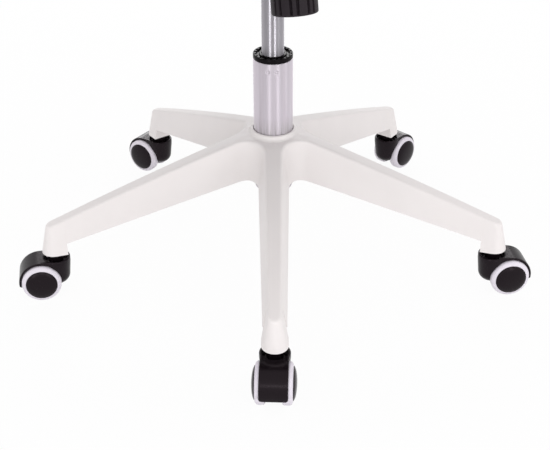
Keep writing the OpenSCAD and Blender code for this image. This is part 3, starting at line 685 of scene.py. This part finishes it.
def apply_boolean(obj, cutter, operation):
    """Joins a cutter to an object or cuts it out, and removes the cutter."""
    mod = obj.modifiers.new("cut", "BOOLEAN")
    mod.operation, mod.object, mod.solver = operation, cutter, "EXACT"
    graph = bpy.context.evaluated_depsgraph_get()
    mesh = bpy.data.meshes.new_from_object(obj.evaluated_get(graph))
    old = obj.data
    obj.modifiers.clear()
    obj.data = mesh
    bpy.data.meshes.remove(old)
    bpy.data.objects.remove(cutter)


def loose(name, verts, faces):
    """Working object that rides no body."""
    return make(name, verts, faces, None, None, angle=30)


def drum(r, y0, y1):
    """Cylinder about the axle, between two places across the hood."""
    place = Matrix.Translation((TRAIL, 0, WHEEL_R)) @ Matrix.Rotation(math.radians(-90), 4, "X")
    return lathe([(0, y0), (r, y0), (r, y1), (0, y1)], 96, place)


WHEEL_GAP, FENDER_R = 1, WHEEL_R + 3.4
WELL_IN, WELL_OUT, CUT_TOP = 8.8, 60, 80
HOOD_HALF, FACE_EDGE, FACE_CORNER, FACE_END = 16.7, 1.3, 4.0, -10.5
WEB_R = 19                              # web between the wheels
COLLAR_R, COLLAR_Z, COLLAR_ROLL = 18.2, 54.0, 2
CUP_R, CUP_Z, CUP_LIP, NECK_R, NECK_Z = 15.4, 47.0, 0.8, 9.5, 59.1
BOWL_R, BOWL_Z, BOWL_BEND, BAND_Z = 16.3, 15.7, 13.0, 46.5


def eased(radius, u):
    """How far a rounded edge of the given radius draws in, at a distance u from where it ends."""
    return radius - math.sqrt(radius ** 2 - max(0.0, radius - u) ** 2)


def hood_stations():
    """Places across the hood, close together where its edges and corners are round."""
    ease = [FACE_CORNER * (1 - math.cos(math.radians(90 * i / 10))) for i in range(11)]
    return [u - HOOD_HALF for u in ease] + [HOOD_HALF - u for u in reversed(ease)]


def hood_layer(y):
    """Side outline of the fender and of the web between the wheels, y across the hood."""
    u = HOOD_HALF - abs(y)
    d = eased(FACE_EDGE, u)
    end = FACE_END + math.degrees(eased(FACE_CORNER, u) / FENDER_R)
    outline = arc(TRAIL, WHEEL_R, FENDER_R - d, end, 90, 32)
    outline += [(4, COLLAR_Z - d), (0, COLLAR_Z - d), (0, BOWL_Z), (8, 13)]
    outline += arc(TRAIL, WHEEL_R, WEB_R, 232, 330, 14)
    return [Vector((x, y, z)) for x, z in outline]


def hood_mesh():
    """Fender over the wheels with a web between them, and the round bowl that holds the stem."""
    body = loose("hood", *loft([hood_layer(y) for y in hood_stations()]))
    bowl = [(0, BOWL_Z)] + arc(BOWL_R - BOWL_BEND, BOWL_Z + BOWL_BEND, BOWL_BEND, -90, 0, 10) \
        + [(COLLAR_R, BAND_Z)] \
        + arc(COLLAR_R - COLLAR_ROLL, COLLAR_Z - COLLAR_ROLL, COLLAR_ROLL, 0, 90, 6) \
        + [(NECK_R, COLLAR_Z), (NECK_R, NECK_Z), (0, NECK_Z)]
    apply_boolean(body, loose("bowl", *lathe(bowl, 72)), "UNION")
    cup = [(NECK_R, CUP_Z), (CUP_R - 0.6, CUP_Z), (CUP_R, CUP_Z + 0.6), (CUP_R, COLLAR_Z - CUP_LIP),
           (CUP_R + CUP_LIP, COLLAR_Z), (CUP_R + CUP_LIP, CUT_TOP), (NECK_R, CUT_TOP), (NECK_R, CUP_Z)]
    apply_boolean(body, loose("cup", *lathe(cup, 72)), "DIFFERENCE")
    for s in (-1, 1):
        well = drum(WHEEL_R + WHEEL_GAP, s * WELL_IN, s * WELL_OUT)
        apply_boolean(body, loose("well", *well), "DIFFERENCE")
    mesh = body.data.copy()
    bpy.data.objects.remove(body)
    return mesh


HOOD = hood_mesh()

# Wheel profiles: radius and distance from the hood's middle along the axle
TREAD_IN, TREAD_FLAT, TREAD_OUT, TREAD_R, TREAD_SUNK = 9.8, 17.4, 21.8, 2.4, 0.05
CAP_R, CAP_OUT, CAP_EDGE, CAP_RIM = 19.8, 26.0, 0.9, TREAD_OUT + 0.2
HUB_BORE_R, WHEEL_HUB_R, HUB_IN, DISC_IN = 3.1, 7, 9.2, 13
CAP = [(HUB_BORE_R, HUB_IN), (WHEEL_HUB_R, HUB_IN), (WHEEL_HUB_R, DISC_IN), (15.5, DISC_IN), (15.8, TREAD_IN),
       (CAP_R, TREAD_IN)] + arc(CAP_R - CAP_EDGE, CAP_RIM, CAP_EDGE, 0, 60, 4) \
    + oval(0, CAP_RIM, CAP_R - 0.6, CAP_OUT - CAP_RIM, 20, 90, 14)
TREAD = [(CAP_R - TREAD_SUNK, TREAD_IN)] \
    + arc(WHEEL_R - TREAD_R, TREAD_IN + TREAD_R, TREAD_R, -90, 0, 6) \
    + oval(CAP_R, TREAD_FLAT, WHEEL_R - CAP_R, TREAD_OUT - TREAD_FLAT, 0, 88, 14) \
    + [(CAP_R - TREAD_SUNK, TREAD_OUT - 1)]

for k in range(1, LEGS + 1):
    stem = leg_turn(k - 1) @ Matrix.Translation((STEM_CIRCLE, 0, 0))
    here = stem @ Matrix.Rotation(math.radians(CASTER_TURN[k - 1]), 4, "Z")
    metres = here.copy()
    metres.translation *= MM
    mesh = HOOD.copy()
    mesh.transform(metres)
    hood = finish_mesh(f"hood_{k}", mesh, BLACK, f"caster_{k}", [f"caster_hood_{k}"], 30)
    bevel(hood, 0.5, 2, 40)
    for name, s in (("left", 1), ("right", -1)):
        axle = here @ Matrix.Translation((TRAIL, 0, WHEEL_R)) @ Matrix.Rotation(math.radians(90 * s), 4, "X")
        body = f"{name}_wheel_{k}"
        cap = make(f"cap_{name}_{k}", *lathe(CAP, 72, axle), BLACK, body, [f"wheel_{name}_{k}"], 35)
        tread = make(f"tread_{name}_{k}", *lathe(TREAD, 96, axle), TYRE, body, [f"tyre_{name}_{k}"], 40)


# Cushions: a flat pad is blown up by a cloth simulation, then laid on what carries it

PAD_CELLS, CROWN_POWER = 60, 2.4
SEAM_HOLD, SIM_FRAMES = 0.8, 20
WELT_R, WELT_OUT = 2.3, 0.8
WEAVE_TURN, WEAVE_FADE = 0.7, 4         # share of the half width where the weave turns down the side


def pad_grid(half_u, half_v, power, rows, seam, crown, cells):
    """Closed pad over a rounded square: flat base, side rows of (scale, height), crowned top.
    Returns vertices, faces, the base's indices and the seam loop's indices in order."""
    def on(a, b, scale):
        big = max(abs(a), abs(b))
        if big < 1e-9:
            return 0.0, 0.0
        da, db = a / big, b / big
        k = (abs(da) ** power + abs(db) ** power) ** (-1 / power) * big * scale
        return half_u * da * k, half_v * db * k

    line = [-1 + 2 * i / cells for i in range(cells + 1)]
    loop = [(x, -1) for x in line[:-1]] + [(1, y) for y in line[:-1]]
    loop += [(-x, 1) for x in line[:-1]] + [(-1, -y) for y in line[:-1]]
    verts, faces, where = [], [], {}

    def put(key, point):
        where[key] = len(verts)
        verts.append(Vector(point))

    edge_at = {}
    for i, (a, b) in enumerate(loop):
        edge_at[(round((a + 1) * cells / 2), round((b + 1) * cells / 2))] = i
    for r, (scale, height) in enumerate(rows):
        for i, (a, b) in enumerate(loop):
            put(("side", r, i), (*on(a, b, scale), height))
    for cap, r, scale in (("base", 0, rows[0][0]), ("top", len(rows) - 1, seam[0])):
        for i, a in enumerate(line):
            for j, b in enumerate(line):
                if (i, j) in edge_at:
                    where[(cap, i, j)] = where[("side", r, edge_at[(i, j)])]
                    continue
                big = max(abs(a), abs(b))
                crowned = seam[1] + (crown - seam[1]) * (1 - big ** CROWN_POWER)
                put((cap, i, j), (*on(a, b, scale), rows[0][1] if cap == "base" else crowned))
        for i in range(cells):
            for j in range(cells):
                corners = ((i, j), (i + 1, j), (i + 1, j + 1), (i, j + 1))
                quad = [where[(cap, *corner)] for corner in corners]
                faces.append(tuple(quad if cap == "top" else reversed(quad)))
    n = len(loop)
    for r in range(len(rows) - 1):
        for i in range(n):
            j = (i + 1) % n
            corners = ((r, i), (r, j), (r + 1, j), (r + 1, i))
            faces.append(tuple(where[("side", *corner)] for corner in corners))
    base = [where[("base", i, j)] for i in range(cells + 1) for j in range(cells + 1)]
    return verts, faces, base, [where[("side", len(rows) - 1, i)] for i in range(n)]


def blow_up(verts, faces, base, seam, pressure, cap):
    """Cloth simulation with the base held and the seam held softly; no point moves further than cap."""
    mesh = bpy.data.meshes.new("pad")
    mesh.from_pydata([v * MM for v in verts], [], faces)
    obj = bpy.data.objects.new("pad", mesh)
    bpy.context.collection.objects.link(obj)
    hold = obj.vertex_groups.new(name="hold")
    hold.add(base, 1.0, "REPLACE")
    hold.add(seam, SEAM_HOLD, "REPLACE")
    cloth = obj.modifiers.new("cloth", "CLOTH")
    cloth.settings.vertex_group_mass = "hold"
    cloth.settings.use_pressure = True
    cloth.settings.uniform_pressure_force = pressure
    cloth.settings.quality = 6
    cloth.settings.mass = 0.3
    cloth.settings.tension_stiffness = 12
    cloth.settings.compression_stiffness = 12
    cloth.settings.bending_stiffness = 1.5
    cloth.settings.effector_weights.gravity = 0
    scene = bpy.context.scene
    for f in range(1, SIM_FRAMES + 1):
        scene.frame_set(f)
    graph = bpy.context.evaluated_depsgraph_get()
    moved = [v.co / MM for v in obj.evaluated_get(graph).data.vertices]
    scene.frame_set(1)
    bpy.data.objects.remove(obj)
    out = []
    for a, b in zip(verts, moved):
        d = b - a
        out.append(a + d * min(1.0, cap / d.length) if d.length > 1e-9 else a)
    return out


def tube(points, radius, sides=8):
    """Closed ring of tube along a loop of points."""
    n = len(points)
    verts, faces = [], []
    for i, p in enumerate(points):
        along = (points[(i + 1) % n] - points[i - 1]).normalized()
        across = along.cross(Vector((0, 0, 1)))
        across = across.normalized() if across.length > 1e-3 else Vector((1, 0, 0))
        up = across.cross(along)
        for k in range(sides):
            a = 2 * math.pi * k / sides
            verts.append(p + (across * math.cos(a) + up * math.sin(a)) * radius)
    for i in range(n):
        for k in range(sides):
            j, m = (i + 1) % n, (k + 1) % sides
            faces.append((i * sides + k, i * sides + m, j * sides + m, j * sides + k))
    return verts, faces


def cushion(name, body, node, half_u, half_v, power, rows, crown, lay, pressure, cap):
    """Blown-up pad laid on its carrier, with its weave's flat coordinates and a welt along its seam."""
    verts, faces, base, seam = pad_grid(half_u, half_v, power, rows, rows[-1], crown, PAD_CELLS)
    flat = blow_up(verts, faces, base, seam, pressure, cap)
    flat = [Vector((p.x, p.y, max(p.z, rows[0][1]))) for p in flat]
    ring = [flat[i] for i in seam]
    obj = make(name, [lay(p) for p in flat], faces, FABRIC, body, [node], 60)
    cloth = obj.data.attributes.new("weave", "FLOAT_VECTOR", "POINT")
    if len(obj.data.vertices) == len(flat):
        for a, p in zip(cloth.data, flat):
            out = Vector((p.x / half_u, p.y / half_v))
            drop = max(0.0, crown - p.z) * min(1.0, max(0.0, (out.length - WEAVE_TURN) * WEAVE_FADE))
            step = out.normalized() * drop if out.length > 1e-6 else Vector((0, 0))
            a.vector = (p.x + step.x, p.y + step.y, 0)
    obj.modifiers.new("smooth", "SUBSURF").levels = 1
    obj.modifiers["smooth"].render_levels = 1
    middle = sum(ring, Vector()) / len(ring)
    out = [p + ((p - middle) * Vector((1, 1, 0))).normalized() * WELT_OUT + Vector((0, 0, WELT_OUT))
           for p in ring]
    welt = make(name + "_welt", *tube([lay(p) for p in out], WELT_R), WELT, body, (), 60)


SEAT_Y, SEAT_Z, SEAT_W, SEAT_D = -12, 497, 480, 465
FALL_FROM, FALL = 0.45, 0.9             # the seat's front edge thins from this share of its half depth
PAN_GAP = 0.1
SEAT_SQUARE, SEAT_CROWN = 5, 54
SEAT_SIDE = [(0.905, 0), (0.945, 3), (0.968, 10), (0.976, 20), (0.974, 30), (0.962, 38), (0.945, 44)]
BACK_W, BACK_H, BACK_Y, BACK_Z, BACK_LEAN = 430, 440, 252, 590, math.tan(math.radians(8))
LUMBAR, LUMBAR_V, WRAP = 24, 110, 34    # bow at the lumbar height, and of the sides toward the sitter
BACK_SQUARE, BACK_CROWN, BACK_INSET, SHELL_GAP = 4.2, 37, 14, 1.0
BACK_SIDE = [(0.93, 0), (0.95, 3), (0.962, 9), (0.965, 16), (0.955, 23), (0.935, 29)]


def on_seat(p):
    """Lays a pad's point on the seat pan."""
    fall = max(0.0, -p.y / (SEAT_D / 2) - FALL_FROM)
    return Vector((p.x, p.y + SEAT_Y, SEAT_Z + PAN_GAP + p.z * (1 - FALL * fall * fall)))


def back_at(u, v, d):
    """Point of the back's curved sheet: u across, v up from its lower edge, d behind its front."""
    bow = LUMBAR * math.exp(-((v - LUMBAR_V) / LUMBAR_V) ** 2) + WRAP * (u / (BACK_W / 2)) ** 2
    return Vector((u, BACK_Y + v * BACK_LEAN - bow + d, BACK_Z + v))


def on_back(p):
    """Lays a pad's point on the front of the back shell."""
    return back_at(p.x, BACK_H / 2 + p.y, -SHELL_GAP - p.z)


cushion("seat_pad", "seat", "seat_cushion", SEAT_W / 2, SEAT_D / 2, SEAT_SQUARE, SEAT_SIDE, SEAT_CROWN,
        on_seat, pressure=4, cap=9)
cushion("back_pad", "seat", "back_cushion", (BACK_W - BACK_INSET) / 2, (BACK_H - BACK_INSET) / 2, BACK_SQUARE,
        BACK_SIDE, BACK_CROWN, on_back, pressure=4, cap=8)


# Back shell: the same curved sheet, 7 mm thick with a rolled rim, and a raised pad for the bar

SHELL_T, SHELL_POINTS, SHELL_RINGS = 7, 160, 12
SHELL_RIM = [(0.985, 0.5), (0.995, 1.5), (1, 3.4), (0.996, 5.2), (0.988, 6.4), (0.975, SHELL_T)]


def shell():
    """Front and rear face, as rings that grow and shrink again, joined round the rim."""
    def ring(scale, d):
        out = []
        for i in range(SHELL_POINTS):
            a = 2 * math.pi * i / SHELL_POINTS
            u = BACK_W / 2 * scale * squared(math.cos(a), 2 / BACK_SQUARE)
            v = BACK_H / 2 * (1 - scale * squared(math.sin(a), 2 / BACK_SQUARE))
            out.append(back_at(u, v, d))
        return out

    steps = range(SHELL_RINGS + 1)
    rings = [ring(0.02 + 0.95 * i / SHELL_RINGS, 0.2) for i in steps]
    rings += [ring(scale, d) for scale, d in SHELL_RIM]
    rings += [ring(0.97 - 0.95 * i / SHELL_RINGS, SHELL_T) for i in steps]
    verts, faces = skin(rings)
    faces += [tuple(reversed(range(SHELL_POINTS))), tuple(range(len(verts) - SHELL_POINTS, len(verts)))]
    return verts, faces


BAR_Y, BAR_Z, BAR_HALF = 274.31, 721, 4.06
BOSS_U, BOSS_V, BOSS_SQUARE, BOSS_POINTS = 38, 49, 0.3, 64
BOSS_FACE = [(0.5, 0), (0.94, 0), (0.985, 0.5), (1, 1.6)]       # scale, and distance before the bar
BOSS_FILLET = [(1, 4), (1.03, 1.6), (1.1, 0.3), (1.16, -0.6)]   # scale, and height on the shell


def boss():
    """Raised pad that the bar is bolted to, with a fillet where it meets the shell."""
    def ring(scale, off, on_shell):
        out = []
        for i in range(BOSS_POINTS):
            a = 2 * math.pi * i / BOSS_POINTS
            c, s = math.cos(a), math.sin(a)
            u = BOSS_U * squared(c, BOSS_SQUARE) + (scale - 1) * BOSS_U * c
            z = BAR_Z + BOSS_V * squared(s, BOSS_SQUARE) + (scale - 1) * BOSS_U * s
            face = BAR_Y + (z - BAR_Z) * BACK_LEAN - BAR_HALF - off
            out.append(Vector((u, back_at(u, z - BACK_Z, SHELL_T + off).y if on_shell else face, z)))
        return out

    verts, faces = skin([ring(*row, False) for row in BOSS_FACE] + [ring(*row, True) for row in BOSS_FILLET])
    return verts, faces + [tuple(reversed(range(BOSS_POINTS)))]


shell_obj = make("back_skin", *join(shell(), boss()), WHITE, "seat", ["back_shell"], angle=50)


# CAD nodes that keep their shape take a material and eased edges

def dress(names, material, ease):
    """Gives CAD nodes a material, and a bevel of the width given unless it is 0."""
    for name in names:
        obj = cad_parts[name]
        obj.data.materials.clear()
        obj.data.materials.append(material)
        if ease:
            bevel(obj, ease, 2, 35)


dress(["thrust_bearing", "caster_stems", "piston_rod", "rod_clip", "release_pin", "tension_bolt",
       "spring_follower"] + [f"caster_axle_{k}" for k in range(1, LEGS + 1)], STEEL, 0)
dress(["tilt_axle", "lever_pivot", "seat_bolts", "bar_bolts", "back_bolts"], STEEL, 0.4)
dress(["height_lever"], STEEL, 0)
dress(["mech_housing", "seat_plate"], COAT, 0.6)
dress(["back_bar"], COAT, 1.2)
dress(["lever_grip", "seat_pan"], BLACK, 1.0)


# Stage: white floor and world, and soft lamps

STAGE_TURN = Matrix.Rotation(math.radians(BASE_TURN), 3, "Z")   # the camera faces the front leg
SKY, SKY_STRENGTH = (1, 0.985, 0.99, 1), 0.825
FLOOR_GREY, FLOOR_ROUGH, FLOOR_WIDE, FLOOR_SHARE = (0.9, 0.9, 0.9, 1), 0.9, 14, 0.95


def white_to_camera(tree, shader, share):
    """Mixes a shader toward plain white for camera, glossy and transmission rays."""
    path = add(tree, "ShaderNodeLightPath")
    either = add(tree, "ShaderNodeMath", operation="MAXIMUM")
    seen = add(tree, "ShaderNodeMath", operation="MAXIMUM")
    scale = add(tree, "ShaderNodeMath", operation="MULTIPLY")
    scale.inputs[1].default_value = share
    kind = "ShaderNodeBackground" if shader.type == "BACKGROUND" else "ShaderNodeEmission"
    glow = add(tree, kind, Color=(1, 1, 1, 1), Strength=1.0)
    mix = add(tree, "ShaderNodeMixShader")
    link = tree.links.new
    link(path.outputs["Is Camera Ray"], either.inputs[0])
    link(path.outputs["Is Glossy Ray"], either.inputs[1])
    link(either.outputs[0], seen.inputs[0])
    link(path.outputs["Is Transmission Ray"], seen.inputs[1])
    link(seen.outputs[0], scale.inputs[0])
    link(scale.outputs[0], mix.inputs["Fac"])
    link(shader.outputs[0], mix.inputs[1])
    link(glow.outputs[0], mix.inputs[2])
    return mix


world = bpy.data.worlds.new("studio")
bpy.context.scene.world = world
world.use_nodes = True
tree = world.node_tree
sky = tree.nodes["Background"]
sky.inputs["Color"].default_value = SKY
sky.inputs["Strength"].default_value = SKY_STRENGTH
tree.links.new(white_to_camera(tree, sky, 1.0).outputs[0], tree.nodes["World Output"].inputs["Surface"])

floor_mat, tree, bsdf = nodes_of("stage_white")
bsdf.inputs["Base Color"].default_value = FLOOR_GREY
bsdf.inputs["Roughness"].default_value = FLOOR_ROUGH
white = white_to_camera(tree, bsdf, FLOOR_SHARE)
tree.links.new(white.outputs[0], tree.nodes["Material Output"].inputs["Surface"])
bpy.ops.mesh.primitive_plane_add(size=FLOOR_WIDE, location=(0, 0, 0))
floor = bpy.context.object
floor.name = "floor"
floor.data.materials.append(floor_mat)


# Lamps, in metres and watts: place across, toward the camera and up; width and height; power.
# A piece named at the end is the only one lit: the lines down the cylinder, the sheen on the rear hoods.

AIM = Vector((0, 0, 0.25))
LAMPS = [("left", (-1.0, 2.48, 1.45), (0.2, 1.5), 6),
         ("right", (1.2, 2.38, 1.45), (0.22, 1.5), 7.6),
         ("low_left", (-1.0, 2.48, 0.32), (0.2, 0.56), 2.6),
         ("low_right", (1.2, 2.38, 0.32), (0.2, 0.56), 2),
         ("line_left", (-1.28, 2.33, 0.32), (0.4, 0.56), 17, "cylinder_skin"),
         ("line_right", (0.9, 2.5, 0.32), (0.4, 0.56), 18, "cylinder_skin"),
         ("sheen_3", (0, -2.3, 0.4), (2.4, 0.6), 14, "hood_3"),
         ("sheen_4", (0, -2.3, 0.4), (2.4, 0.6), 14, "hood_4"),
         ("front", (0, 2.3, 0.9), (0.9, 0.1), 2.6),
         ("side", (2.5, 1.0, 1.1), (1.4, 1.0), 7),
         ("back", (0, -2.3, 1.2), (2.4, 0.2), 14)]


def lamp(name, place, size, power, only=None):
    """Softbox facing the base, turned with it; it lights one piece alone if told which."""
    data = bpy.data.lights.new(name, "AREA")
    data.shape = "RECTANGLE"
    data.size, data.size_y = size
    data.energy = power
    obj = bpy.data.objects.new(name, data)
    side, toward, up = place
    obj.location = STAGE_TURN @ Vector((side, -toward, up))
    obj.rotation_euler = (AIM - obj.location).to_track_quat("-Z", "Y").to_euler()
    obj.visible_camera = False
    if only:
        lit = bpy.data.collections.new(name + "_lights")
        lit.objects.link(bpy.data.objects[only])
        obj.light_linking.receiver_collection = lit
    bpy.context.collection.objects.link(obj)


for row in LAMPS:
    lamp(*row)


# Camera, as fitted to the photograph: focal length in pixels, angles in radians, place in metres

IMAGE_WIDE, SENSOR = 550, 36
LENS_PX, TILT, ROLL, PAN = 1166.19, math.radians(31.342), 0.00517, 0.0024
CAMERA_AT = Vector((-0.00176, -1.34645, 0.86218))

ahead = STAGE_TURN @ Vector((math.sin(PAN) * math.cos(TILT), math.cos(PAN) * math.cos(TILT), -math.sin(TILT)))
level = STAGE_TURN @ Vector((math.cos(PAN), -math.sin(PAN), 0))
down = ahead.cross(level)
right = level * math.cos(ROLL) + down * math.sin(ROLL)
up = level * math.sin(ROLL) - down * math.cos(ROLL)
cam_data = bpy.data.cameras.new("camera")
cam_data.sensor_width = SENSOR
cam_data.lens = LENS_PX / IMAGE_WIDE * SENSOR
cam = bpy.data.objects.new("camera", cam_data)
bpy.context.collection.objects.link(cam)
axes = Matrix((right, up, -ahead)).transposed().to_4x4()
cam.matrix_world = Matrix.Translation(STAGE_TURN @ CAMERA_AT) @ axes
bpy.context.scene.camera = cam

bpy.context.scene.view_settings.view_transform = "Standard"
